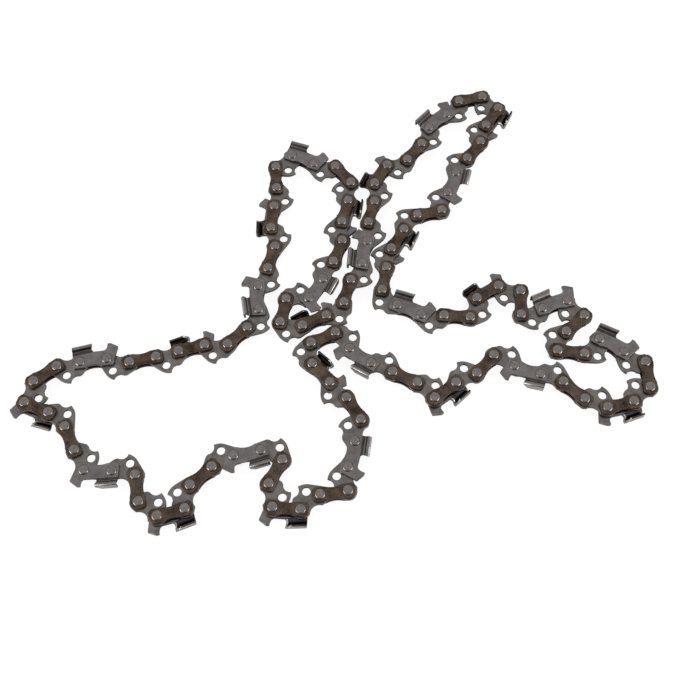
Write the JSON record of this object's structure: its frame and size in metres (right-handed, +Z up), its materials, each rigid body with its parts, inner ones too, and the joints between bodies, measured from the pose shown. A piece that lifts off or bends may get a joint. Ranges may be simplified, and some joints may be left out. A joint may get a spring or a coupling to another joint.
{
  "type": "chainsaw chain",
  "caption": "Closed loop of riveted saw chain lying loosely folded on its side, with left and right hand cutters, tie straps and drive links.",
  "frame": {"origin": "middle of the lay's box, at the height of the surface it lies on", "axes": "+X along the lay's length, to the right in the picture; +Y away from the picture's camera; +Z up, across the chain's width"},
  "size_m": [0.2444, 0.1909, 0.0061],
  "materials": {
    "cutter": "grey steel with a satin hard chrome skin, bright on the folded top plate and the ground edge",
    "drive_link": "plain grey stamped steel, tumbled edges",
    "tie_strap": "brown tempered steel, oiled",
    "rivet": "bare steel, spun heads"
  },
  "bodies": {
    "root": {"right_cutter_01": "cutter", "right_cutter_02": "cutter", "right_cutter_03": "cutter", "right_cutter_04": "cutter", "right_cutter_05": "cutter", "right_cutter_06": "cutter", "right_cutter_07": "cutter", "right_cutter_08": "cutter", "right_cutter_09": "cutter", "right_cutter_10": "cutter", "right_cutter_11": "cutter", "right_cutter_12": "cutter", "right_cutter_13": "cutter", "right_cutter_14": "cutter", "right_cutter_15": "cutter", "left_cutter_01": "cutter", "left_cutter_02": "cutter", "left_cutter_03": "cutter", "left_cutter_04": "cutter", "left_cutter_05": "cutter", "left_cutter_06": "cutter", "left_cutter_07": "cutter", "left_cutter_08": "cutter", "left_cutter_09": "cutter", "left_cutter_10": "cutter", "left_cutter_11": "cutter", "left_cutter_12": "cutter", "left_cutter_13": "cutter", "left_cutter_14": "cutter", "drive_links_01": "drive_link", "drive_links_02": "drive_link", "drive_links_03": "drive_link", "drive_links_04": "drive_link", "drive_links_05": "drive_link", "drive_links_06": "drive_link", "drive_links_07": "drive_link", "drive_links_08": "drive_link", "drive_links_09": "drive_link", "drive_links_10": "drive_link", "tie_straps_01": "tie_strap", "tie_straps_02": "tie_strap", "tie_straps_03": "tie_strap", "tie_straps_04": "tie_strap", "tie_straps_05": "tie_strap", "tie_straps_06": "tie_strap", "tie_straps_07": "tie_strap", "tie_straps_08": "tie_strap", "tie_straps_09": "tie_strap", "tie_straps_10": "tie_strap", "rivets_01": "rivet", "rivets_02": "rivet", "rivets_03": "rivet", "rivets_04": "rivet", "rivets_05": "rivet", "rivets_06": "rivet", "rivets_07": "rivet", "rivets_08": "rivet", "rivets_09": "rivet", "rivets_10": "rivet"}
  },
  "joints": []
}
